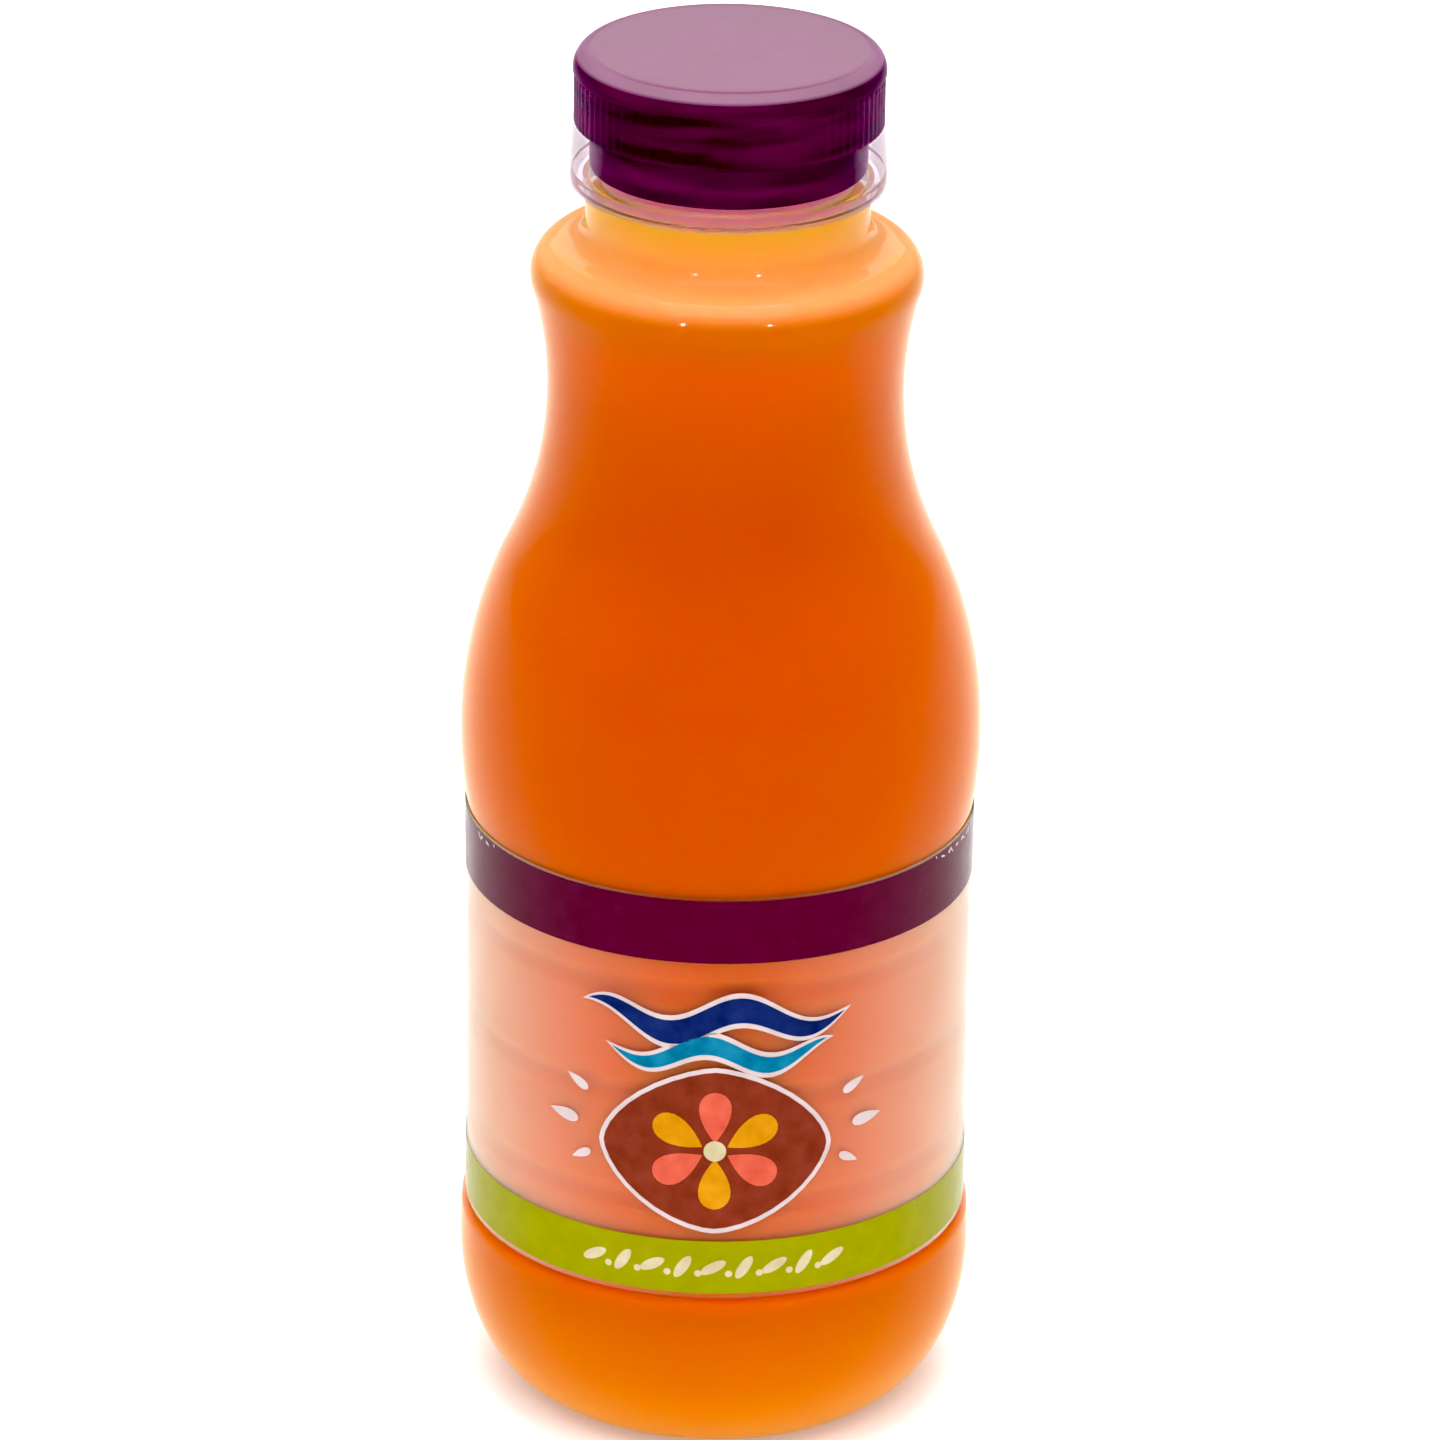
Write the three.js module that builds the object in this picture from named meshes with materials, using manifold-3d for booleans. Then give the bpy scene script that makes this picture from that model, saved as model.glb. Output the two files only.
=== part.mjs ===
// A half-litre bottle of flavoured milk: a clear blown bottle with a waisted neck, the drink inside it,
// a ribbed screw cap with its tear band, a clear shrink seal over the tear band and a wrap-round label.
// Millimetres, +Z up. The origin is the centre of the foot ring, and the label's front faces -Y.
import * as THREE from "three";
import { mergeVertices } from "three/addons/utils/BufferGeometryUtils.js";
import Module from "manifold-3d";

// Driving dimensions. Radii are measured from the bottle's axis, and heights from the surface it stands on.
const SEGMENTS = 40; // facets round every turned piece, so that neighbouring walls stay parallel

const foot = { inner: 20.6, outer: 23, pushUp: 6.5 };
const heel = { radius: 34.8, height: 20 };
const body = { upperArc: 60, wall: 0.45 }; // one long arc shapes the top of the heel and the shoulder
const panel = { radius: 33.8, bottom: 26.1, stepHeight: 0.8 };
const groove = { heights: [40, 55.5, 71], width: 4.6, floor: 1.4, depth: 0.75 };
const shoulder = { radius: 34.75, height: 95 };
const waist = { radius: 23.45, height: 143.7 };
const bead = { radius: 25.7, edge: 4.4 }; // the round swelling between the waist and the neck
const neck = { radius: 18.55 };
const supportRing = { radius: 20.4, bottom: 172, top: 173.7, edge: 0.35 };
const finish = { radius: 17, bore: 15.7, top: 188, edge: 0.5 }; // the mouth that the cap screws on to

const drink = { level: 171, gap: 0.3 };

const cap = { radius: 20.25, top: 189.8, edge: 2.6, plate: 1.5, bottom: 179.9, wall: 1.2 };
const capGrip = { count: 90, radius: 20.1, depth: 0.25, sink: 0.3, top: 186.7 };
const capLip = { radius: 17.35, height: 1 }; // the inward step that the tear band hangs from
const tearBand = { inner: 17.3, outer: 18.05, bottom: 174, top: 179.6, bevel: 0.4 };

const film = 0.15; // thickness of the seal and of the label
const seal = { top: 186.4, skirt: 20.37, ring: 20.75, lip: 19.5, lipHeight: 171.4, lipRise: 0.3 };
const label = { radius: 34.1, bottom: 26.6, top: 84.9 };

// Centres and radii that follow from the driving dimensions, so that each arc runs smoothly into the next.
const shoulderCentre = shoulder.radius - body.upperArc;
const arcRise = waist.height - shoulder.height;
const arcRun = shoulder.radius - waist.radius;
const arcSum = (arcRun ** 2 + arcRise ** 2) / (2 * arcRun);
const waistArc = arcSum - body.upperArc;
const waistCentre = waist.radius + waistArc;
const beadCentre = bead.radius - bead.edge;
const beadReach = waistCentre - beadCentre;
const beadHeight = waist.height + Math.sqrt((waistArc + bead.edge) ** 2 - beadReach ** 2);
const neckFillet = beadCentre - neck.radius;
const neckStart = beadHeight + bead.edge + neckFillet;
const pushUpSphere = (foot.inner ** 2 + foot.pushUp ** 2) / (2 * foot.pushUp);
const pushUpCentre = foot.pushUp - pushUpSphere;

const degrees = THREE.MathUtils.radToDeg;
const shoulderAngle = degrees(Math.asin(arcRise / arcSum));
const beadAngle = degrees(Math.asin((beadHeight - waist.height) / (waistArc + bead.edge)));
const panelTopAngle = degrees(Math.acos((panel.radius - shoulderCentre) / body.upperArc));

const wasm = await Module();
wasm.setup();

// Points on an ellipse in the profile plane, from one angle to another. Angle 0 points away from the axis.
function arc(radius, height, halfWidth, halfHeight, from, to, steps) {
  return Array.from({ length: steps + 1 }, (_, i) => {
    const angle = THREE.MathUtils.degToRad(from + ((to - from) * i) / steps);
    return [radius + halfWidth * Math.cos(angle), height + halfHeight * Math.sin(angle)];
  });
}

function roundArc(radius, height, size, from, to, steps) {
  return arc(radius, height, size, size, from, to, steps);
}

// A profile of [radius, height] pairs turned about the Z axis.
function turned(profile) {
  const points = profile.map(([radius, height]) => new THREE.Vector2(radius, height));
  return new THREE.LatheGeometry(points, SEGMENTS).rotateX(Math.PI / 2);
}

function closedRing(profile) {
  return turned([...profile, profile[0]]);
}

function solidOf(geometry) {
  const bare = geometry.clone();
  bare.deleteAttribute("normal");
  bare.deleteAttribute("uv");
  const merged = mergeVertices(bare);
  const vertProperties = merged.attributes.position.array;
  const triVerts = new Uint32Array(merged.index.array);
  return new wasm.Manifold(new wasm.Mesh({ numProp: 3, vertProperties, triVerts }));
}

function geometryOf(solid) {
  const { vertProperties, triVerts } = solid.getMesh();
  const geometry = new THREE.BufferGeometry();
  geometry.setAttribute("position", new THREE.BufferAttribute(vertProperties, 3));
  geometry.setIndex(new THREE.BufferAttribute(triVerts, 1));
  geometry.computeVertexNormals();
  return geometry;
}

// One shallow channel pressed into the label panel.
function grooveLine(height, inset) {
  const face = panel.radius - inset;
  return [
    [face, height - groove.width / 2],
    [face - groove.depth, height - groove.floor / 2],
    [face - groove.depth, height + groove.floor / 2],
    [face, height + groove.width / 2],
  ];
}

// The blown body's line from the foot to the neck, moved inwards by inset. Every arc keeps its centre,
// so lines with different insets are parallel. Only arcs that swell outwards have fewer steps on hidden
// faces (fine under 1), where a longer chord thickens the wall.
function bodyLine(inset, fine) {
  const steps = (count) => Math.round(count * fine);
  const bulge = body.upperArc - inset;
  const heelCentre = heel.radius - body.upperArc;
  const stepAngle = degrees(Math.asin((panel.bottom - panel.stepHeight - heel.height) / body.upperArc));
  const panelTop = shoulder.height - body.upperArc * Math.sin(THREE.MathUtils.degToRad(panelTopAngle));
  const heelWidth = heel.radius - foot.outer - inset;
  return [
    ...arc(foot.outer, heel.height, heelWidth, heel.height - inset, -90, 0, steps(6)),
    ...roundArc(heelCentre, heel.height, bulge, 0, stepAngle, 1).slice(1),
    [panel.radius - inset, panel.bottom],
    ...groove.heights.flatMap((height) => grooveLine(height, inset)),
    [panel.radius - inset, panelTop],
    ...roundArc(shoulderCentre, shoulder.height, bulge, -panelTopAngle / 2, shoulderAngle, steps(6)),
    ...roundArc(waistCentre, waist.height, waistArc + inset, 180 + shoulderAngle, 180 - beadAngle, 5).slice(1),
    ...roundArc(beadCentre, beadHeight, bead.edge - inset, -beadAngle, 90, steps(6)).slice(1),
    ...roundArc(beadCentre, neckStart, neckFillet + inset, 270, 180, 2).slice(1),
  ];
}

// The underside's shallow dome, from the axis out to the foot ring, raised by rise.
function pushUpLine(rise, steps) {
  const size = pushUpSphere + rise;
  const edge = degrees(Math.acos(foot.inner / size));
  return roundArc(0, pushUpCentre, size, 90, edge, steps).map(([r, z]) => [Math.max(0, r), z]);
}

function bottleGeometry() {
  const { radius, bottom, top, edge } = supportRing;
  const mouth = finish.top - finish.edge;
  return turned([
    ...pushUpLine(0, 3),
    ...bodyLine(0, 1),
    [neck.radius, bottom],
    [radius, bottom],
    [radius, top - edge],
    [radius - edge, top],
    [finish.radius, top],
    [finish.radius, mouth],
    [finish.radius - finish.edge, finish.top],
    [finish.bore + finish.edge, finish.top],
    [finish.bore, mouth],
    [finish.bore, top],
    [neck.radius - body.wall, bottom - edge],
    ...bodyLine(body.wall, 0.5).reverse(),
    ...pushUpLine(body.wall, 2).reverse(),
  ]);
}

function drinkGeometry() {
  const inset = body.wall + drink.gap;
  return turned([
    ...pushUpLine(inset, 2),
    ...bodyLine(inset, 0.5),
    [neck.radius - inset, drink.level],
    [0, drink.level],
  ]);
}

// The cap's grip: a ring with a fine zigzag outline, sunk a little into the skirt.
function gripGeometry() {
  const { count, radius, depth, sink, top } = capGrip;
  const points = Array.from({ length: 2 * count }, (_, i) => {
    const angle = (Math.PI * i) / count;
    const reach = i % 2 ? radius - depth : radius;
    return new THREE.Vector2(reach * Math.cos(angle), reach * Math.sin(angle));
  });
  const outline = new THREE.Shape(points);
  outline.holes.push(new THREE.Path().absarc(0, 0, radius - depth - sink, 0, 2 * Math.PI));
  const settings = { depth: top - cap.bottom, bevelEnabled: false, curveSegments: SEGMENTS / 2 };
  return new THREE.ExtrudeGeometry(outline, settings).translate(0, 0, cap.bottom);
}

function capGeometry() {
  const skirt = capGrip.radius - capGrip.depth;
  const inside = cap.radius - cap.wall;
  const lipTop = cap.bottom + capLip.height;
  const shell = turned([
    [0, cap.top - cap.plate],
    [inside, cap.top - cap.plate],
    [inside, lipTop],
    [capLip.radius, lipTop],
    [capLip.radius, cap.bottom],
    [skirt, cap.bottom],
    [skirt, capGrip.top],
    [cap.radius, capGrip.top],
    ...roundArc(cap.radius - cap.edge, cap.top - cap.edge, cap.edge, 0, 90, 4),
    [0, cap.top],
  ]);
  return geometryOf(solidOf(shell).add(solidOf(gripGeometry())));
}

function tearBandGeometry() {
  const { inner, outer, bottom, top, bevel } = tearBand;
  return closedRing([
    [inner, bottom],
    [outer - bevel, bottom],
    [outer, bottom + bevel],
    [outer, top],
    [inner, top],
  ]);
}

// The shrunk film: it grips the cap's skirt, spans the tear band and curls under the support ring.
function sealGeometry() {
  const outside = [
    [seal.lip, seal.lipHeight],
    [seal.ring - seal.lipRise, seal.lipHeight + seal.lipRise],
    [seal.ring, supportRing.bottom],
    [seal.ring, supportRing.top],
    [seal.skirt, cap.bottom],
    [seal.skirt, seal.top],
  ];
  const inside = outside.map(([radius, height], i) => [radius - film, i < 2 ? height + film : height]);
  return closedRing([...outside, ...inside.reverse()]);
}

function labelGeometry() {
  return closedRing([
    [label.radius - film, label.bottom],
    [label.radius, label.bottom],
    [label.radius, label.top],
    [label.radius - film, label.top],
  ]);
}

function material(color, roughness, opacity = 1) {
  const transparent = opacity < 1;
  return new THREE.MeshStandardMaterial({ color, roughness, metalness: 0, opacity, transparent });
}

function mesh(name, geometry, look) {
  const made = new THREE.Mesh(geometry, look);
  made.name = name;
  return made;
}

const clear = material(0xf3f6f6, 0.08, 0.3);
const orangeDrink = material(0xe0640f, 0.35);
const purplePlastic = material(0x5c0a44, 0.3);
const milkyFilm = material(0xf2b79a, 0.3, 0.7);

const bottleOfMilk = new THREE.Group();
bottleOfMilk.add(
  mesh("bottle", bottleGeometry(), clear),
  mesh("drink", drinkGeometry(), orangeDrink),
  mesh("cap", capGeometry(), purplePlastic),
  mesh("tear_band", tearBandGeometry(), purplePlastic),
  mesh("seal", sealGeometry(), clear),
  mesh("label", labelGeometry(), milkyFilm),
);

export default bottleOfMilk;
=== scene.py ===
"""Looks for a half-litre bottle of flavoured milk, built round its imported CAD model.

The blown bottle, the drink inside it, the ribbed cap with its tear band, the shrink seal and the printed
label are turned or wrapped meshes. Metres, +Z up, the label's front faces -Y.
"""

import math

import bmesh
import bpy
from mathutils import Matrix, Vector
from mathutils.geometry import tessellate_polygon


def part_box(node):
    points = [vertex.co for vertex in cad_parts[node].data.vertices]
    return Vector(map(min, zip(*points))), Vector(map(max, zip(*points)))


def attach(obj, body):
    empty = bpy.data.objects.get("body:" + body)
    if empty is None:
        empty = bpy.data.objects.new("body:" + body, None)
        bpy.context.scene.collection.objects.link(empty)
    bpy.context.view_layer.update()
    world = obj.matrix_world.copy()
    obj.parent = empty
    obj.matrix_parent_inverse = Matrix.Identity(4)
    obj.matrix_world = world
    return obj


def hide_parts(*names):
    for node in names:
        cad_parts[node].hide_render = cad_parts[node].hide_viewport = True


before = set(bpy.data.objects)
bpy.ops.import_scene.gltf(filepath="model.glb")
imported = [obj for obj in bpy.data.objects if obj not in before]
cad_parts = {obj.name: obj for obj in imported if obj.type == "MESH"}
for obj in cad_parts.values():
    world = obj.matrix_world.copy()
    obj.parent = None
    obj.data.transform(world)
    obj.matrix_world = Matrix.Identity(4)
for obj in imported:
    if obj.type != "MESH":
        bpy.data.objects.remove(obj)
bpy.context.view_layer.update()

MM = 0.001
BODY = "root"

# The CAD nodes' own extents, which the finer meshes keep to.
BOTTLE_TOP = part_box("bottle")[1].z
BULGE_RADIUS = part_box("bottle")[1].y
DRINK_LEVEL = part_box("drink")[1].z
CAP_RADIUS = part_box("cap")[1].y
CAP_BOTTOM, CAP_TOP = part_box("cap")[0].z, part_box("cap")[1].z
TEAR_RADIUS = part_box("tear_band")[1].y
TEAR_BOTTOM, TEAR_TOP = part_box("tear_band")[0].z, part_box("tear_band")[1].z
SEAL_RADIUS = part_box("seal")[1].y
SEAL_BOTTOM, SEAL_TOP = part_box("seal")[0].z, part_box("seal")[1].z
LABEL_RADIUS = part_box("label")[1].y
LABEL_BOTTOM, LABEL_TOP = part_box("label")[0].z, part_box("label")[1].z

# The blown body, as in the CAD source: radii from the axis, heights from the foot.
FOOT_INNER, FOOT_OUTER, PUSH_UP = 20.6 * MM, 23 * MM, 6.5 * MM
HEEL_RADIUS, HEEL_HEIGHT = BULGE_RADIUS, 20 * MM
LONG_ARC = 60 * MM
WALL = 0.45 * MM
PANEL_RADIUS, PANEL_BOTTOM, PANEL_STEP = 33.8 * MM, 26.1 * MM, 0.8 * MM
GROOVE_HEIGHTS = (40 * MM, 55.5 * MM, 71 * MM)
GROOVE_WIDTH, GROOVE_DEPTH = 4.6 * MM, 0.75 * MM
SHOULDER_RADIUS, SHOULDER_HEIGHT = 34.75 * MM, 95 * MM
WAIST_RADIUS, WAIST_HEIGHT = 23.45 * MM, 143.7 * MM
BEAD_RADIUS, BEAD_EDGE = 25.7 * MM, 4.4 * MM
NECK_RADIUS = 18.55 * MM
RING_RADIUS, RING_BOTTOM, RING_TOP, RING_EDGE = 20.4 * MM, 172 * MM, 173.7 * MM, 0.35 * MM
FINISH_RADIUS, FINISH_BORE, FINISH_EDGE = 17 * MM, 15.7 * MM, 0.5 * MM
DRINK_REACH = 0.12 * MM  # how far the drink reaches into the wall, so that no air gap shows

SMOOTH_TURN = 192  # facets round the smooth turned pieces
ON_AXIS = 1e-7  # a profile point nearer the axis than this closes the mesh
SHARP_ANGLE = math.radians(40)
QUARTER_TURN, HALF_TURN = math.pi / 2, math.pi


# Mesh helpers


def new_object(name, mesh, material, replaced=()):
    """A finished piece: smooth where it is round, riding on the one body."""
    piece = bpy.data.objects.new(name, mesh)
    bpy.context.scene.collection.objects.link(piece)
    mesh.materials.append(material)
    mesh.polygons.foreach_set("use_smooth", [True] * len(mesh.polygons))
    mesh.set_sharp_from_angle(angle=SHARP_ANGLE)
    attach(piece, BODY)
    if replaced:
        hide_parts(*replaced)
    return piece


def arc(radius, height, half_width, half_height, start, end, steps):
    """Profile points on an ellipse; angle 0 points away from the axis."""
    points = []
    for i in range(steps + 1):
        angle = start + (end - start) * i / steps
        points.append((radius + half_width * math.cos(angle), height + half_height * math.sin(angle)))
    return points


def round_arc(radius, height, size, start, end, steps):
    return arc(radius, height, size, size, start, end, steps)


def mesh_from(bm, name):
    """The edited mesh as a finished one."""
    mesh = bpy.data.meshes.new(name)
    bm.to_mesh(mesh)
    bm.free()
    return mesh


def lathe(profile, turns, closed=False, ripple=None):
    """A mesh turned about Z. Points on the axis close it; ripple(angle, radius, height) may move a radius."""
    bm = bmesh.new()
    rings = []
    for radius, height in profile:
        if radius < ON_AXIS:
            rings.append([bm.verts.new((0, 0, height))])
            continue
        ring = []
        for i in range(turns):
            angle = 2 * math.pi * i / turns
            r = ripple(angle, radius, height) if ripple else radius
            ring.append(bm.verts.new((r * math.cos(angle), r * math.sin(angle), height)))
        rings.append(ring)
    pairs = list(zip(rings, rings[1:]))
    if closed:
        pairs.append((rings[-1], rings[0]))
    for low, high in pairs:
        for i in range(turns):
            j = (i + 1) % turns
            if len(low) == 1:
                bm.faces.new((low[0], high[j], high[i]))
            elif len(high) == 1:
                bm.faces.new((low[i], low[j], high[0]))
            else:
                bm.faces.new((low[i], low[j], high[j], high[i]))
    bmesh.ops.recalc_face_normals(bm, faces=bm.faces)
    return mesh_from(bm, "turned")


# The bottle's outline, worked out from the driving dimensions so that each arc runs smoothly into the next

SHOULDER_CENTRE = SHOULDER_RADIUS - LONG_ARC
HEEL_CENTRE = HEEL_RADIUS - LONG_ARC
ARC_RISE = WAIST_HEIGHT - SHOULDER_HEIGHT
ARC_RUN = SHOULDER_RADIUS - WAIST_RADIUS
ARC_SUM = (ARC_RUN**2 + ARC_RISE**2) / (2 * ARC_RUN)
WAIST_ARC = ARC_SUM - LONG_ARC
WAIST_CENTRE = WAIST_RADIUS + WAIST_ARC
BEAD_CENTRE = BEAD_RADIUS - BEAD_EDGE
BEAD_HEIGHT = WAIST_HEIGHT + math.sqrt((WAIST_ARC + BEAD_EDGE) ** 2 - (WAIST_CENTRE - BEAD_CENTRE) ** 2)
NECK_FILLET = BEAD_CENTRE - NECK_RADIUS
NECK_START = BEAD_HEIGHT + BEAD_EDGE + NECK_FILLET
SHOULDER_ANGLE = math.asin(ARC_RISE / ARC_SUM)
BEAD_ANGLE = math.asin((BEAD_HEIGHT - WAIST_HEIGHT) / (WAIST_ARC + BEAD_EDGE))
PANEL_ANGLE = math.acos((PANEL_RADIUS - SHOULDER_CENTRE) / LONG_ARC)
PUSH_UP_SPHERE = (FOOT_INNER**2 + PUSH_UP**2) / (2 * PUSH_UP)


def groove_line(height, inset, half_steps=6):
    """One shallow rounded channel pressed into the label panel."""
    points = []
    for i in range(2 * half_steps + 1):
        along = i / half_steps - 1
        pressed = GROOVE_DEPTH * 0.5 * (1 + math.cos(math.pi * along))
        points.append((PANEL_RADIUS - inset - pressed, height + GROOVE_WIDTH / 2 * along))
    return points


def body_line(inset):
    """The blown body from the foot to the neck, moved inwards by inset."""
    heel_width = HEEL_RADIUS - FOOT_OUTER - inset
    step_angle = math.asin((PANEL_BOTTOM - PANEL_STEP - HEEL_HEIGHT) / LONG_ARC)
    panel_top = SHOULDER_HEIGHT - LONG_ARC * math.sin(PANEL_ANGLE)
    bulge = LONG_ARC - inset
    points = arc(FOOT_OUTER, HEEL_HEIGHT, heel_width, HEEL_HEIGHT - inset, -QUARTER_TURN, 0, 28)
    points += round_arc(HEEL_CENTRE, HEEL_HEIGHT, bulge, 0, step_angle, 6)[1:]
    points += [(PANEL_RADIUS - inset, PANEL_BOTTOM)]
    for height in GROOVE_HEIGHTS:
        points += groove_line(height, inset)
    points += [(PANEL_RADIUS - inset, panel_top)]
    points += round_arc(SHOULDER_CENTRE, SHOULDER_HEIGHT, bulge, -PANEL_ANGLE * 0.9, SHOULDER_ANGLE, 30)
    waist_from, waist_to = HALF_TURN + SHOULDER_ANGLE, HALF_TURN - BEAD_ANGLE
    points += round_arc(WAIST_CENTRE, WAIST_HEIGHT, WAIST_ARC + inset, waist_from, waist_to, 26)[1:]
    points += round_arc(BEAD_CENTRE, BEAD_HEIGHT, BEAD_EDGE - inset, -BEAD_ANGLE, QUARTER_TURN, 20)[1:]
    fillet = NECK_FILLET + inset
    points += round_arc(BEAD_CENTRE, NECK_START, fillet, 3 * QUARTER_TURN, HALF_TURN, 10)[1:]
    return points


def push_up_line(rise):
    """The underside's shallow dome, from the axis out to the foot ring."""
    size = PUSH_UP_SPHERE + rise
    edge_angle = math.acos(FOOT_INNER / size)
    points = round_arc(0, PUSH_UP - PUSH_UP_SPHERE, size, QUARTER_TURN, edge_angle, 12)
    return [(0, points[0][1])] + points[1:]


def bottle_profile():
    """Up the outside to the support ring and the mouth, and down the inside."""
    ring_corner = RING_RADIUS - RING_EDGE
    below_ring = RING_BOTTOM - RING_EDGE
    lip = BOTTLE_TOP - FINISH_EDGE
    points = push_up_line(0) + body_line(0)
    points += [(NECK_RADIUS, below_ring)]
    points += round_arc(NECK_RADIUS + RING_EDGE, below_ring, RING_EDGE, HALF_TURN, QUARTER_TURN, 4)[1:]
    points += round_arc(ring_corner, RING_BOTTOM + RING_EDGE, RING_EDGE, -QUARTER_TURN, 0, 4)
    points += round_arc(ring_corner, RING_TOP - RING_EDGE, RING_EDGE, 0, QUARTER_TURN, 4)
    points += [(FINISH_RADIUS, RING_TOP)]
    points += round_arc(FINISH_RADIUS - FINISH_EDGE, lip, FINISH_EDGE, 0, QUARTER_TURN, 4)
    points += round_arc(FINISH_BORE + FINISH_EDGE, lip, FINISH_EDGE, QUARTER_TURN, HALF_TURN, 4)
    points += [(FINISH_BORE, RING_TOP), (NECK_RADIUS - WALL, below_ring)]
    points += body_line(WALL)[::-1] + push_up_line(WALL)[::-1]
    return points


def drink_profile():
    """The inside of the bottle up to the drink's level, a little into the wall."""
    inset = WALL - DRINK_REACH
    points = push_up_line(inset) + body_line(inset)
    points += [(NECK_RADIUS - inset, DRINK_LEVEL), (0, DRINK_LEVEL)]
    return points


# Materials


def principled(name):
    material = bpy.data.materials.new(name)
    material.use_nodes = True
    nodes, links = material.node_tree.nodes, material.node_tree.links
    return material, nodes, links, nodes["Principled BSDF"]


def noise(nodes, links, scale, detail=3.0, stretch=(1, 1, 1)):
    """Noise in the object's own coordinates, in cells a metre."""
    place = nodes.new("ShaderNodeTexCoord")
    mapping = nodes.new("ShaderNodeMapping")
    mapping.inputs["Scale"].default_value = stretch
    texture = nodes.new("ShaderNodeTexNoise")
    texture.inputs["Scale"].default_value = scale
    texture.inputs["Detail"].default_value = detail
    links.new(place.outputs["Object"], mapping.inputs["Vector"])
    links.new(mapping.outputs["Vector"], texture.inputs["Vector"])
    return texture.outputs["Fac"]


def ranged(nodes, links, value, low, high, start=0.3, stop=0.7):
    """A value spread from low to high as it goes from start to stop."""
    node = nodes.new("ShaderNodeMapRange")
    node.inputs["From Min"].default_value = start
    node.inputs["From Max"].default_value = stop
    node.inputs["To Min"].default_value = low
    node.inputs["To Max"].default_value = high
    links.new(value, node.inputs["Value"])
    return node.outputs["Result"]


def mixed(nodes, links, value, dark, light, start=0.3, stop=0.7):
    """Two linear colours mixed by a value."""
    ramp = nodes.new("ShaderNodeValToRGB")
    ramp.color_ramp.elements[0].position = start
    ramp.color_ramp.elements[1].position = stop
    ramp.color_ramp.elements[0].color = (*dark, 1)
    ramp.color_ramp.elements[1].color = (*light, 1)
    links.new(value, ramp.inputs["Fac"])
    return ramp.outputs["Color"]


def height_up(nodes, links):
    """How far a point is above the foot, in metres."""
    place = nodes.new("ShaderNodeTexCoord")
    split = nodes.new("ShaderNodeSeparateXYZ")
    links.new(place.outputs["Object"], split.inputs["Vector"])
    return split.outputs["Z"]


def blended(nodes, links, kind, share, first, second):
    """Two linked colours put together by a share, a number or a linked value."""
    mix = nodes.new("ShaderNodeMix")
    mix.data_type = "RGBA"
    mix.blend_type = kind
    if isinstance(share, (int, float)):
        mix.inputs["Factor"].default_value = share
    else:
        links.new(share, mix.inputs["Factor"])
    links.new(first, mix.inputs["A"])
    links.new(second, mix.inputs["B"])
    return mix.outputs["Result"]


def by_height(nodes, links, stops):
    """Linear colours that change up the object, with a little light and dark cloud in them."""
    share = ranged(nodes, links, height_up(nodes, links), 0, 1, 0, CAP_TOP)
    ramp = nodes.new("ShaderNodeValToRGB")
    elements = ramp.color_ramp.elements
    while len(elements) < len(stops):
        elements.new(0.5)
    for element, (level, colour) in zip(elements, stops):
        element.position = level * MM / CAP_TOP
        element.color = (*colour, 1)
    links.new(share, ramp.inputs["Fac"])
    cloud = mixed(nodes, links, noise(nodes, links, 45, 4.0), (0.97, 0.93, 0.9), (1, 1, 1))
    return blended(nodes, links, "MULTIPLY", 1, ramp.outputs["Color"], cloud)


def bumped(nodes, links, shader, value, depth, strength):
    """A fine relief from a value, this deep where the value is 1."""
    bump = nodes.new("ShaderNodeBump")
    bump.inputs["Strength"].default_value = strength
    bump.inputs["Distance"].default_value = depth
    links.new(value, bump.inputs["Height"])
    links.new(bump.outputs["Normal"], shader.inputs["Normal"])


def clear_plastic():
    """The blown wall: clear, with a faint orange sheen where it turns away, and slightly uneven."""
    material, nodes, links, shader = principled("clear_plastic")
    shader.inputs["Base Color"].default_value = (0.985, 0.99, 0.985, 1)
    shader.inputs["Transmission Weight"].default_value = 1
    shader.inputs["IOR"].default_value = 1.18
    shader.inputs["Sheen Weight"].default_value = 0.5
    shader.inputs["Sheen Roughness"].default_value = 0.4
    shader.inputs["Sheen Tint"].default_value = (0.9, 0.48, 0.06, 1)
    links.new(ranged(nodes, links, noise(nodes, links, 300), 0.06, 0.12), shader.inputs["Roughness"])
    bumped(nodes, links, shader, noise(nodes, links, 90, 2.0, (1, 1, 0.4)), 0.1 * MM, 0.3)
    return material


# Heights in millimetres, each with a linear colour, much of it painted light and shade: painted light makes
# the foot paler, a painted shadow line lies just under the label, a darker band of painted shade lies under
# the bead, painted light brightens the bead's top and the neck, and a painted pink reflection of the cap lies
# at the support ring. Behind the label the colour is stronger, for the label's film dulls it.
DRINK_COLOURS_AND_PAINTED_LIGHT = [
    (0, (0.998, 0.365, 0.02)),
    (12, (0.8, 0.22, 0.01)),
    (24, (0.7, 0.15, 0.006)),
    (28, (0.97, 0.155, 0.003)),
    (76, (0.95, 0.155, 0.003)),
    (86, (0.73, 0.125, 0.005)),
    (125, (0.72, 0.125, 0.005)),
    (145, (0.67, 0.115, 0.006)),
    (153, (0.68, 0.115, 0.006)),
    (157, (0.61, 0.13, 0.006)),
    (160.5, (0.57, 0.155, 0.006)),
    (162.5, (0.97, 0.39, 0.15)),
    (170.5, (0.999, 0.45, 0.05)),
    (172.5, (0.97, 0.19, 0.36)),
]


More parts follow.
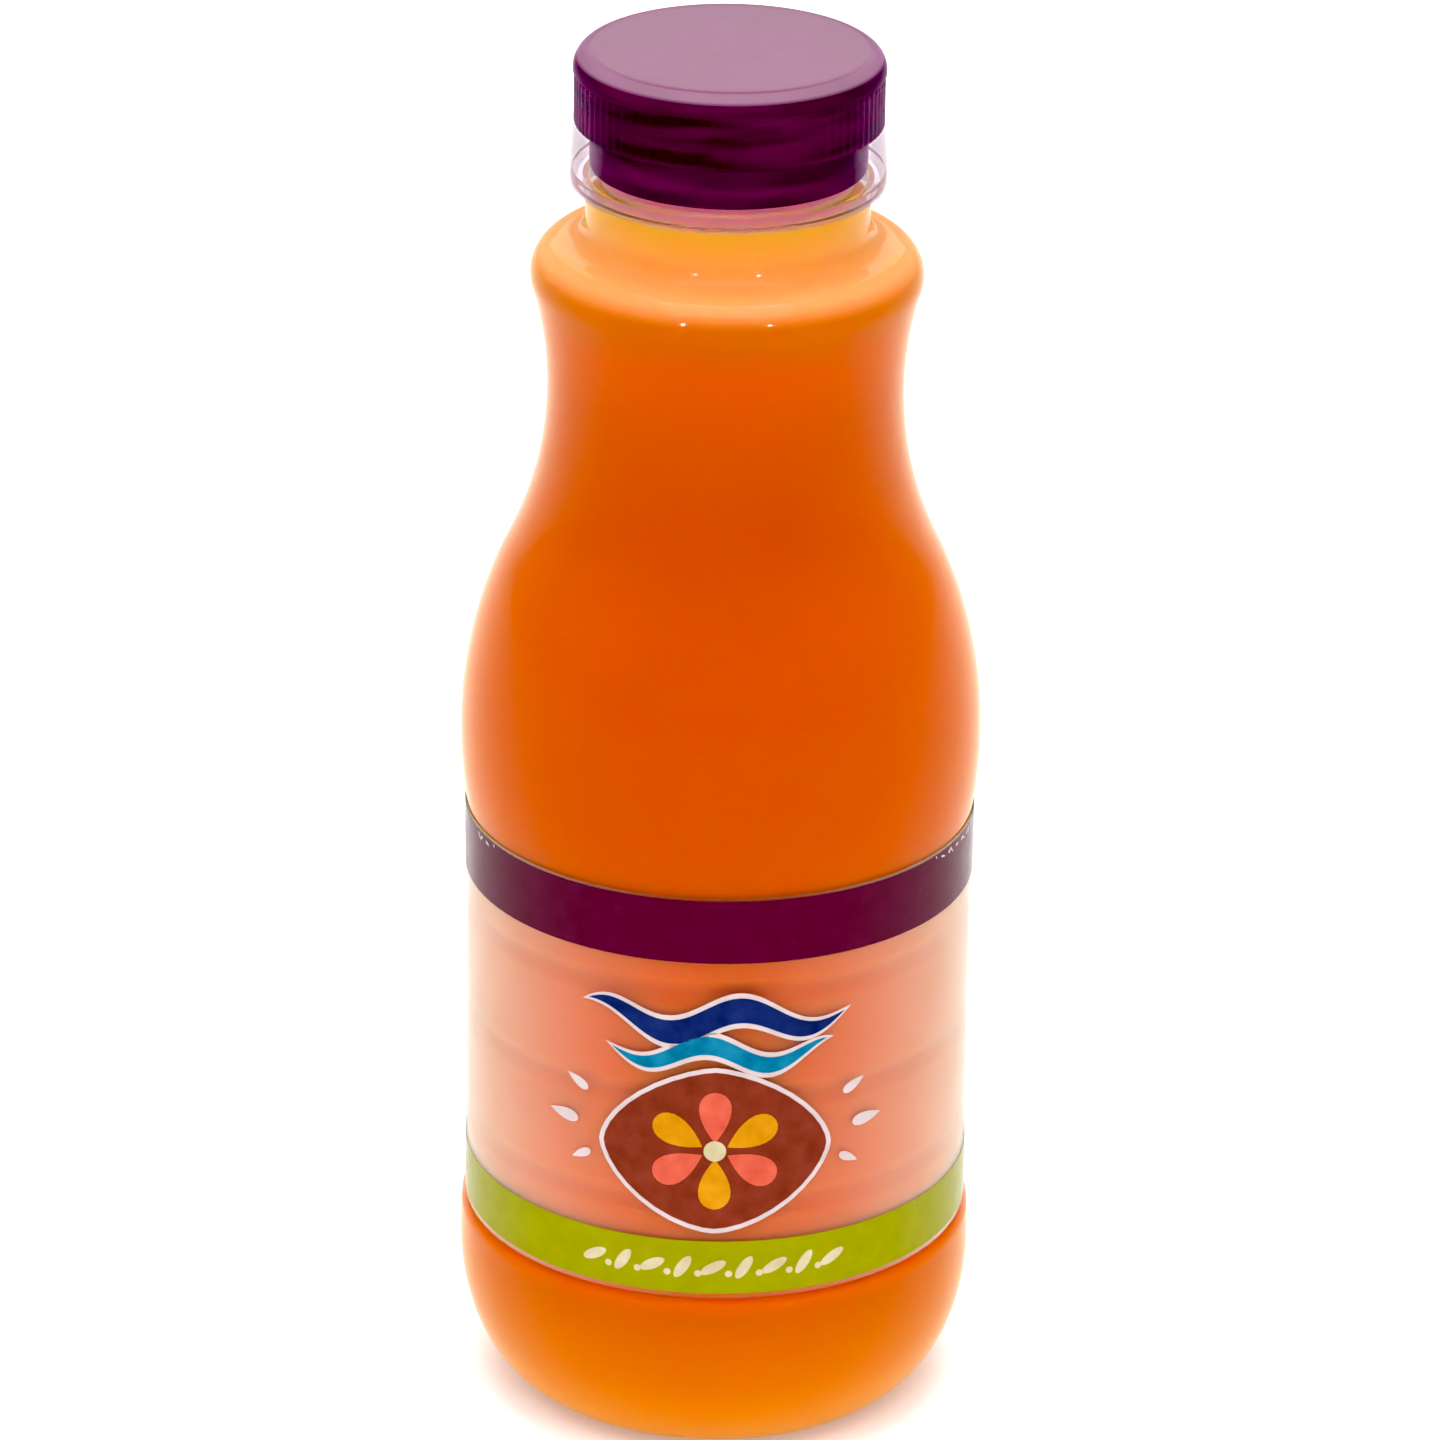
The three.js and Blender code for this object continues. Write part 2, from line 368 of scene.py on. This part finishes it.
def milk_drink():
    """Milk that light soaks into. It has no gloss of its own, for the bottle's wall has it."""
    material, nodes, links, shader = principled("milk_drink")
    # The colour up the height carries painted light and shade as well as the milk's own colour.
    links.new(by_height(nodes, links, DRINK_COLOURS_AND_PAINTED_LIGHT), shader.inputs["Base Color"])
    shader.inputs["Subsurface Weight"].default_value = 1
    shader.inputs["Subsurface Radius"].default_value = (1.0, 0.45, 0.12)
    shader.inputs["Subsurface Scale"].default_value = 4 * MM
    shader.inputs["IOR"].default_value = 1.35
    shader.inputs["Specular IOR Level"].default_value = 0.0
    links.new(ranged(nodes, links, noise(nodes, links, 200), 0.4, 0.55), shader.inputs["Roughness"])
    return material


def cap_plastic():
    """Deep violet plastic: painted dark streaks of shade on the skirt, a painted highlight round the top's
    rim, and glossy on the flat top.
    """
    material, nodes, links, shader = principled("cap_plastic")
    level = height_up(nodes, links)
    # Painted shade: dark streaks across the skirt.
    painted_shade_streaks = noise(nodes, links, 55, 2.0, (1, 1, 8))
    clouds = noise(nodes, links, 90, 4.0)
    skirt = mixed(nodes, links, painted_shade_streaks, (0.02, 0.0001, 0.011), (0.08, 0.0004, 0.04), 0.36, 0.7)
    flat = mixed(nodes, links, clouds, (0.1, 0.003, 0.04), (0.115, 0.004, 0.05))
    # Painted highlight: a pale mauve round the top's rim, carrying the flat top's gloss over the rounding.
    rim = mixed(nodes, links, clouds, (0.2, 0.105, 0.155), (0.225, 0.12, 0.175))
    rim_highlight_share = ranged(nodes, links, level, 0, 1, CAP_TOP - 1.35 * MM, CAP_TOP - 0.9 * MM)
    flat_share = ranged(nodes, links, level, 0, 1, CAP_TOP - 0.16 * MM, CAP_TOP - 0.005 * MM)
    outside = blended(nodes, links, "MIX", rim_highlight_share, skirt, rim)
    links.new(blended(nodes, links, "MIX", flat_share, outside, flat), shader.inputs["Base Color"])
    links.new(flat_share, shader.inputs["Coat Weight"])
    shader.inputs["Coat IOR"].default_value = 1.3
    shader.inputs["Coat Roughness"].default_value = 0.22
    shader.inputs["IOR"].default_value = 1.06
    shader.inputs["Sheen Weight"].default_value = 0.2
    shader.inputs["Sheen Roughness"].default_value = 0.45
    shader.inputs["Sheen Tint"].default_value = (0.55, 0.0, 0.5, 1)
    links.new(ranged(nodes, links, noise(nodes, links, 400), 0.2, 0.3), shader.inputs["Roughness"])
    bumped(nodes, links, shader, noise(nodes, links, 2500, 2.0), 0.02 * MM, 0.2)
    return material


def hazy_film(name, colours, ior, blend, haze, gloss):
    """Clear film whose haze thickens as it turns away from the eye.

    Haze gives the thinnest and the thickest share, and then how far it is turned away at each of the two.
    """
    material, nodes, links, shader = principled(name)
    shade = noise(nodes, links, 120, 3.0)
    links.new(mixed(nodes, links, shade, *colours), shader.inputs["Base Color"])
    shader.inputs["IOR"].default_value = ior
    turned_away = nodes.new("ShaderNodeLayerWeight")
    turned_away.inputs["Blend"].default_value = blend
    thickness = ranged(nodes, links, turned_away.outputs["Facing"], *haze)
    links.new(thickness, shader.inputs["Alpha"])
    links.new(ranged(nodes, links, noise(nodes, links, 250), *gloss), shader.inputs["Roughness"])
    return material, nodes, links, shader, thickness


def seal_film():
    """Hazy where it stands free round the tear band, and nearly clear where it clings to the cap."""
    # The film's violet tint is a painted reflection of the cap.
    colours = ((0.26, 0.12, 0.23), (0.38, 0.2, 0.34))
    haze, gloss = (0.01, 0.3, 0.4, 0.6), (0.04, 0.1)
    film = hazy_film("seal_film", colours, 1.25, 0.5, haze, gloss)
    material, nodes, links, shader, thickness = film
    low, high = CAP_BOTTOM - 0.2 * MM, CAP_BOTTOM + 0.6 * MM
    free = ranged(nodes, links, height_up(nodes, links), 1, 0.12, low, high)
    product = nodes.new("ShaderNodeMath")
    product.operation = "MULTIPLY"
    links.new(thickness, product.inputs[0])
    links.new(free, product.inputs[1])
    # This takes the place of the film's own link to its alpha.
    links.new(product.outputs["Value"], shader.inputs["Alpha"])
    bumped(nodes, links, shader, noise(nodes, links, 260, 2.0, (1, 1, 0.3)), 0.15 * MM, 0.4)
    return material


def label_film():
    """Nearly clear where it faces the eye, and milky towards the label's sides."""
    # The film's cream tint is partly its own haze and partly a painted glow of the orange drink behind it.
    colours = ((0.7, 0.68, 0.54), (0.78, 0.76, 0.62))
    haze, gloss = (0.02, 0.43, 0.035, 0.493), (0.12, 0.2)
    return hazy_film("label_film", colours, 1.27, 0.2, haze, gloss)[0]


def ink(name, dark, light):
    """Printed ink with faint patches."""
    material, nodes, links, shader = principled("ink_" + name)
    patches = noise(nodes, links, 400, 5.0)
    links.new(mixed(nodes, links, patches, dark, light), shader.inputs["Base Color"])
    shader.inputs["IOR"].default_value = 1.18
    links.new(ranged(nodes, links, noise(nodes, links, 250), 0.18, 0.28), shader.inputs["Roughness"])
    return material


# The bottle, the drink and the cap

CLEAR, DRINK, CAP = clear_plastic(), milk_drink(), cap_plastic()

new_object("bottle_shell", lathe(bottle_profile(), SMOOTH_TURN), CLEAR, ["bottle"])
new_object("drink_body", lathe(drink_profile(), SMOOTH_TURN), DRINK, ["drink"])


def bore_glow_coat_profile():
    """A thin coat in the drink's material on the inside of the mouth, set a little into the wall. Its colour
    is the drink's painted pink reflection of the cap, seen through the support ring.
    """
    low, high = DRINK_LEVEL - 0.2 * MM, DRINK_LEVEL + 9 * MM
    inner, outer = FINISH_BORE - 0.2 * MM, FINISH_BORE + 0.6 * MM
    return [(inner, low), (outer + MM, low), (outer, RING_TOP), (outer, high), (inner, high)]


glow_coat_mesh = lathe(bore_glow_coat_profile(), SMOOTH_TURN, closed=True)
new_object("painted_glow_coat", glow_coat_mesh, DRINK)

GRIP_COUNT, GRIP_RADIUS, GRIP_TOP = 90, 20.1 * MM, 186.7 * MM
RIB_DEPTH, RIB_FACETS = 0.12 * MM, 6
SKIRT_CORNER, SKIRT_ROWS = 0.2 * MM, 8
CAP_EDGE, CAP_PLATE, CAP_WALL = 2.6 * MM, 1.5 * MM, 1.2 * MM
CAP_LIP_RADIUS, CAP_LIP_HEIGHT = 17.35 * MM, 1 * MM


def cap_profile():
    """From under the top plate, down the inside to the lip, and up the outside to the middle of the top."""
    inside = CAP_RADIUS - CAP_WALL
    lip_top = CAP_BOTTOM + CAP_LIP_HEIGHT
    corner_radius, corner_height = GRIP_RADIUS - SKIRT_CORNER, CAP_BOTTOM + SKIRT_CORNER
    row = (GRIP_TOP - CAP_BOTTOM) / SKIRT_ROWS
    points = [(0, CAP_TOP - CAP_PLATE), (inside, CAP_TOP - CAP_PLATE), (inside, lip_top)]
    points += [(CAP_LIP_RADIUS, lip_top), (CAP_LIP_RADIUS, CAP_BOTTOM)]
    points += round_arc(corner_radius, corner_height, SKIRT_CORNER, -QUARTER_TURN, 0, 3)
    points += [(GRIP_RADIUS, CAP_BOTTOM + row * i) for i in range(1, SKIRT_ROWS)]
    points += [(GRIP_RADIUS, GRIP_TOP - 0.1 * MM), (CAP_RADIUS, GRIP_TOP + 0.15 * MM)]
    points += round_arc(CAP_RADIUS - CAP_EDGE, CAP_TOP - CAP_EDGE, CAP_EDGE, 0, QUARTER_TURN, 12)
    points += [(CAP_RADIUS * share, CAP_TOP) for share in (0.8, 0.5, 0.25)]
    points += [(0, CAP_TOP)]
    return points


def grip_ribs(angle, radius, height):
    """Fine upright ribs on the skirt's outside, between its lower edge and the smooth rim."""
    inner_edge = GRIP_RADIUS - SKIRT_CORNER - 0.01 * MM
    if radius < inner_edge or not CAP_BOTTOM - MM < height < GRIP_TOP:
        return radius
    return radius - RIB_DEPTH * 0.5 * (1 - math.cos(GRIP_COUNT * angle))


cap_mesh = lathe(cap_profile(), GRIP_COUNT * RIB_FACETS, ripple=grip_ribs)
new_object("screw_cap", cap_mesh, CAP, ["cap"])

TEAR_INNER, TEAR_EDGE = 17.3 * MM, 0.3 * MM


def tear_band_profile():
    rounding = TEAR_RADIUS - TEAR_EDGE
    points = [(TEAR_INNER, TEAR_BOTTOM)]
    points += round_arc(rounding, TEAR_BOTTOM + TEAR_EDGE, TEAR_EDGE, -QUARTER_TURN, 0, 4)
    points += round_arc(rounding, TEAR_TOP - TEAR_EDGE, TEAR_EDGE, 0, QUARTER_TURN, 4)
    points += [(TEAR_INNER, TEAR_TOP)]
    return points


tear_mesh = lathe(tear_band_profile(), SMOOTH_TURN, closed=True)
new_object("tamper_ring", tear_mesh, CAP, ["tear_band"])

# The shrink seal and the label

FILM = 0.15 * MM
SEAL_LIP, SEAL_SKIRT, SEAL_RISE = 19.5 * MM, 20.37 * MM, 0.3 * MM


def seal_profile():
    """In under the support ring, out round it, and up to the cap's skirt, which it grips."""
    outside = [(SEAL_LIP, SEAL_BOTTOM), (SEAL_RADIUS - SEAL_RISE, SEAL_BOTTOM + SEAL_RISE)]
    outside += [(SEAL_RADIUS, RING_BOTTOM + 0.1 * MM), (SEAL_RADIUS, RING_TOP)]
    for share in (0.3, 0.6, 0.9):
        radius = SEAL_RADIUS + (SEAL_SKIRT - SEAL_RADIUS) * share
        outside.append((radius, RING_TOP + (CAP_BOTTOM - RING_TOP) * share))
    outside += [(SEAL_SKIRT, CAP_BOTTOM + 0.4 * MM), (SEAL_SKIRT, SEAL_TOP)]
    # The two points of the curl are thickened upwards as well.
    inside = [(r - FILM, z + (FILM if i < 2 else 0)) for i, (r, z) in enumerate(outside)]
    return outside + inside[::-1]


seal_mesh = lathe(seal_profile(), SMOOTH_TURN, closed=True)
new_object("shrink_seal", seal_mesh, seal_film(), ["seal"])


def sleeve(inner, outer, bottom, top, rows=1):
    """A thin upright sleeve."""
    heights = [bottom + (top - bottom) * i / rows for i in range(rows + 1)]
    profile = [(outer, z) for z in heights] + [(inner, z) for z in reversed(heights)]
    return lathe(profile, SMOOTH_TURN, closed=True)


label_mesh = sleeve(LABEL_RADIUS - FILM, LABEL_RADIUS, LABEL_BOTTOM, LABEL_TOP, 8)
new_object("label_sleeve", label_mesh, label_film(), ["label"])

# The print: two bands all round, and a generic design on the front. Shapes are in millimetres, along the
# label from its front line and up from the foot, and are wrapped on the sleeve as thin solids in layers.

INK, LAYER = 0.02 * MM, 0.03 * MM
PRINT_RADIUS = LABEL_RADIUS + 0.01 * MM  # the inside of the lowest layer of ink
INKS = {
    "purple": ink("purple", (0.09, 0.01, 0.027), (0.105, 0.012, 0.035)),
    "green": ink("green", (0.265, 0.26, 0.001), (0.3, 0.295, 0.002)),
    "white": ink("white", (0.56, 0.45, 0.45), (0.66, 0.55, 0.55)),
    "navy": ink("navy", (0.012, 0.02, 0.095), (0.02, 0.034, 0.15)),
    "teal": ink("teal", (0.008, 0.13, 0.24), (0.02, 0.22, 0.36)),
    "brown": ink("brown", (0.17, 0.03, 0.016), (0.24, 0.044, 0.026)),
    "coral": ink("coral", (0.56, 0.085, 0.05), (0.68, 0.13, 0.08)),
    "amber": ink("amber", (0.52, 0.21, 0.012), (0.66, 0.29, 0.02)),
    "pale": ink("pale", (0.5, 0.42, 0.24), (0.62, 0.54, 0.34)),
}


def printed_band(name, low, high):
    band = sleeve(PRINT_RADIUS, PRINT_RADIUS + INK, low, high)
    new_object("print_" + name + "_band", band, INKS[name])


def wrapped(name, colour, layer, outlines):
    """A piece of print: closed outlines cut into strips a millimetre wide and bent round the label."""
    flat = bmesh.new()
    for outline in outlines:
        corners = [Vector((along * MM, 0, up * MM)) for along, up in outline]
        made = [flat.verts.new(corner) for corner in corners]
        for triangle in tessellate_polygon([[Vector((c.x, c.z, 0)) for c in corners]]):
            flat.faces.new([made[i] for i in triangle])
    widest = math.ceil(max(abs(vert.co.x) for vert in flat.verts) / MM)
    for step in range(-widest, widest + 1):
        parts = flat.verts[:] + flat.edges[:] + flat.faces[:]
        bmesh.ops.bisect_plane(flat, geom=parts, plane_co=(step * MM, 0, 0), plane_no=(1, 0, 0))
    solid = bmesh.new()
    inner = PRINT_RADIUS + layer * LAYER
    skins = []
    for radius in (inner, inner + INK):
        skin = {}
        for vert in flat.verts:
            angle = vert.co.x / LABEL_RADIUS
            across, towards = radius * math.sin(angle), -radius * math.cos(angle)
            skin[vert] = solid.verts.new((across, towards, vert.co.z))
        skins.append(skin)
    back, front = skins
    for face in flat.faces:
        solid.faces.new([front[vert] for vert in face.verts])
        solid.faces.new([back[vert] for vert in reversed(face.verts)])
    for edge in flat.edges:
        if edge.is_boundary:
            first, second = edge.verts
            solid.faces.new((front[first], front[second], back[second], back[first]))
    bmesh.ops.recalc_face_normals(solid, faces=solid.faces)
    flat.free()
    new_object("print_" + name, mesh_from(solid, name), INKS[colour])


def tilted(along, up, a, b, tilt):
    """The point that is a along and b across a shape which stands at along and up, turned by tilt."""
    cosine, sine = math.cos(tilt), math.sin(tilt)
    return along + a * cosine - b * sine, up + a * sine + b * cosine


def oval(along, up, half_length, half_width, tilt=0.0, power=1.0, count=40):
    """An ellipse, or with a power above 1 a plump diamond."""
    points = []
    for i in range(count):
        angle = 2 * math.pi * i / count
        c, s = math.cos(angle), math.sin(angle)
        a = half_length * math.copysign(abs(c) ** power, c)
        b = half_width * math.copysign(abs(s) ** power, s)
        points.append(tilted(along, up, a, b, tilt))
    return points


def drop(along, up, length, width, tilt, count=24):
    """A drop that points the way that tilt says."""
    points = []
    for i in range(count):
        angle = 2 * math.pi * i / count
        a = length / 2 * math.cos(angle)
        b = width / 2 * math.sin(angle) * math.sin(angle / 2)
        points.append(tilted(along, up, a, b, tilt))
    return points


TIP = 0.02  # half the width that a wavy stroke keeps at its ends


def wave(along, up, half_length, swing, period, phase, thick, count=72):
    """A wavy stroke that tapers to both ends."""
    upper, lower = [], []
    for i in range(count + 1):
        share = 2 * i / count - 1
        x = share * half_length
        middle = up + swing * math.sin(2 * math.pi * x / period + phase)
        half = thick / 2 * (1 - abs(share) ** 2.5) + TIP
        upper.append((along + x, middle + half))
        lower.append((along + x, middle - half))
    return lower + upper[::-1]


printed_band("purple", 75.7 * MM, 84.6 * MM)
printed_band("green", 27.2 * MM, 35.0 * MM)

# Two waves with pale edges: along, up, half the length, swing, period, phase and thickness.
WAVES = [(0, 67.2, 17.5, 1.7, 19, 0.5, 3.6), (0.5, 62.3, 14.5, 1.5, 17, 2.2, 2.6)]
EDGE_LENGTH, EDGE_THICKNESS = 1.0, 1.5
halos = []
for along, up, half_length, swing, period, phase, thick in WAVES:
    longer, thicker = half_length + EDGE_LENGTH, thick + EDGE_THICKNESS
    halos.append(wave(along, up, longer, swing, period, phase, thicker))
wrapped("wave_halos", "white", 0, halos)
wrapped("upper_wave", "navy", 1, [wave(*WAVES[0])])
wrapped("lower_wave", "teal", 1, [wave(*WAVES[1])])

# A brown diamond with a flower of six petals and milk drops on both sides.
PLAQUE, PLUMPNESS = (0, 48.4), 1.25
PETAL_RINGS, PETAL_SIZE = (5.6, 4.9), (7.4, 5.6)
MILK_DROPS = [(19.2, 56.0, 3.6, 0.5), (21.4, 50.6, 4.6, 0.1), (18.6, 45.4, 3.2, -0.5)]
wrapped("plaque_halo", "white", 0, [oval(*PLAQUE, 15.9, 12.2, power=PLUMPNESS)])
wrapped("plaque", "brown", 1, [oval(*PLAQUE, 15.2, 11.5, power=PLUMPNESS)])
petals = {"coral": [], "amber": []}
for i in range(6):
    tilt = math.pi * (i + 0.5) / 3
    along = PLAQUE[0] + PETAL_RINGS[0] * math.cos(tilt)
    up = PLAQUE[1] + PETAL_RINGS[1] * math.sin(tilt)
    petals["coral" if i % 2 else "amber"].append(drop(along, up, *PETAL_SIZE, tilt + math.pi))
for colour, outlines in petals.items():
    wrapped(colour + "_petals", colour, 2, outlines)
wrapped("flower_heart", "pale", 3, [oval(*PLAQUE, 1.5, 1.5, count=24)])
sparks = []
for side in (-1, 1):
    for along, up, length, tilt in MILK_DROPS:
        turn = tilt if side > 0 else math.pi - tilt
        sparks.append(drop(side * along, up, length, length * 0.5, turn))
wrapped("milk_drops", "white", 0, sparks)

# A row of leaves on the green band, with a dot between each two.
LEAF_STEP, FIRST_LEAF, FIRST_DOT = 4.1, -16.4, -14.35
leaves, dots = [], []
for i in range(9):
    leaves.append(oval(FIRST_LEAF + LEAF_STEP * i, 31.1, 1.9, 0.75, 1.0 if i % 2 else 0.5, count=20))
for i in range(8):
    dots.append(oval(FIRST_DOT + LEAF_STEP * i, 30.2, 0.5, 0.5, count=14))
wrapped("leaf_row", "pale", 1, leaves + dots)

# Small pale nicks where the sleeve was cut off its roll: side, first and last place, and number.
NICKS = [(1, 34, 46.5, 9), (-1, 36, 42, 4)]
SPREAD_ONE, SPREAD_TWO = 0.618, 0.379  # steps that make the nicks uneven
nicks = []
for side, first, last, number in NICKS:
    for i in range(number):
        one, two = (i * SPREAD_ONE) % 1, (i * SPREAD_TWO) % 1
        along = side * (first + (last - first) * (i + 0.8 * two) / number)
        length, width = 0.5 + 1.1 * one, 0.3 + 0.35 * two
        up = LABEL_TOP / MM - 0.35 - width - 0.5 * one
        nicks.append(drop(along, up, length, width, 2.4 * two - 1.2, 12))
wrapped("cut_nicks", "white", 1, nicks)

# The floor, the lights and the camera


def placed_light(data, place, aim):
    light = bpy.data.objects.new(data.name, data)
    light.location = place
    light.rotation_euler = (Vector(aim) - Vector(place)).to_track_quat("-Z", "Y").to_euler()
    bpy.context.scene.collection.objects.link(light)
    return light


def area_light(name, place, size, power, aim):
    """A softbox that the camera doesn't see."""
    data = bpy.data.lights.new(name, "AREA")
    data.shape = "RECTANGLE"
    data.size, data.size_y = size
    data.energy = power
    placed_light(data, place, aim).visible_camera = False


def snoot(name, place, aim, degrees, power):
    """A narrow spot with a soft edge. It is small, for a bigger one shows as a white fleck in the gloss."""
    data = bpy.data.lights.new(name, "SPOT")
    data.energy = power
    data.spot_size = math.radians(degrees)
    data.spot_blend = 1
    data.shadow_soft_size = 0.01
    placed_light(data, place, aim)


def floor():
    """Pale paint with a little light of its own, which lifts the shadow round the foot."""
    bm = bmesh.new()
    bmesh.ops.create_grid(bm, x_segments=8, y_segments=8, size=3.0)
    mesh = mesh_from(bm, "floor")
    material, nodes, links, shader = principled("floor_paint")
    paint = mixed(nodes, links, noise(nodes, links, 6), (0.93, 0.93, 0.93), (0.95, 0.95, 0.95))
    links.new(paint, shader.inputs["Base Color"])
    shader.inputs["Roughness"].default_value = 0.8
    shader.inputs["Emission Color"].default_value = (1, 1, 1, 1)
    shader.inputs["Emission Strength"].default_value = 0.2
    mesh.materials.append(material)
    piece = bpy.data.objects.new("floor", mesh)
    bpy.context.scene.collection.objects.link(piece)


BOTTLE_MIDDLE, TOP_CENTRE = (0, 0, 0.09), (0, 0, 0.19)
NECK_CENTRE, FOOT_CENTRE = (0, 0, 0.166), (0, 0, 0.002)

floor()
area_light("top_softbox", (0, 0.1, 2.5), (2.0, 2.0), 34, BOTTLE_MIDDLE)
area_light("top_strip", (0, 0.24, 2.2), (1.4, 0.2), 11, BOTTLE_MIDDLE)
area_light("front_softbox", (0, -1.0, 1.9), (2.2, 0.5), 18, BOTTLE_MIDDLE)
area_light("back_panel", (0, 1.5, 1.0), (1.2, 0.8), 4.5, TOP_CENTRE)
snoot("left_snoot", (-0.45, -0.95, 0.62), NECK_CENTRE, 3.8, 20)
snoot("right_snoot", (0.45, -0.95, 0.62), NECK_CENTRE, 3.8, 20)
snoot("left_foot_snoot", (-0.6, -0.9, 0.25), FOOT_CENTRE, 5, 3)
snoot("right_foot_snoot", (0.6, -0.9, 0.25), FOOT_CENTRE, 5, 3)

world = bpy.data.worlds.new("studio")
world.use_nodes = True
background = world.node_tree.nodes["Background"]
background.inputs["Color"].default_value = (1, 1, 1, 1)
background.inputs["Strength"].default_value = 0.7
bpy.context.scene.world = world

# The camera stands in front and looks down at the bottle, with a slight roll.
CAMERA_PITCH, CAMERA_ROLL = math.radians(23.5), 0.014066
CAMERA_DISTANCE, CAMERA_AIM = 0.9963, Vector((-0.000115, 0, 0.09554))
FOCAL_PIXELS, PHOTO_PIXELS, SENSOR = 7464, 1440, 36
NEAR, FAR = 0.05, 20


def camera():
    look = Vector((0, math.cos(CAMERA_PITCH), -math.sin(CAMERA_PITCH)))
    right = Vector((1, 0, 0))
    up = right.cross(look)
    cos_roll, sin_roll = math.cos(CAMERA_ROLL), math.sin(CAMERA_ROLL)
    rolled_right = right * cos_roll + up * sin_roll
    rolled_up = up * cos_roll - right * sin_roll
    data = bpy.data.cameras.new("camera")
    data.sensor_width = SENSOR
    data.lens = SENSOR * FOCAL_PIXELS / PHOTO_PIXELS
    data.clip_start, data.clip_end = NEAR, FAR
    item = bpy.data.objects.new("camera", data)
    turn = Matrix((rolled_right, rolled_up, -look)).transposed().to_4x4()
    item.matrix_world = Matrix.Translation(CAMERA_AIM - look * CAMERA_DISTANCE) @ turn
    bpy.context.scene.collection.objects.link(item)
    bpy.context.scene.camera = item


camera()

# The photo's blacks are deep, so the faint veil over the whole picture is taken off.
BLACK = 0.03
view = bpy.context.scene.view_settings
view.view_transform = "Standard"
view.use_curve_mapping = True
view.curve_mapping.black_level = (BLACK, BLACK, BLACK)
view.curve_mapping.update()
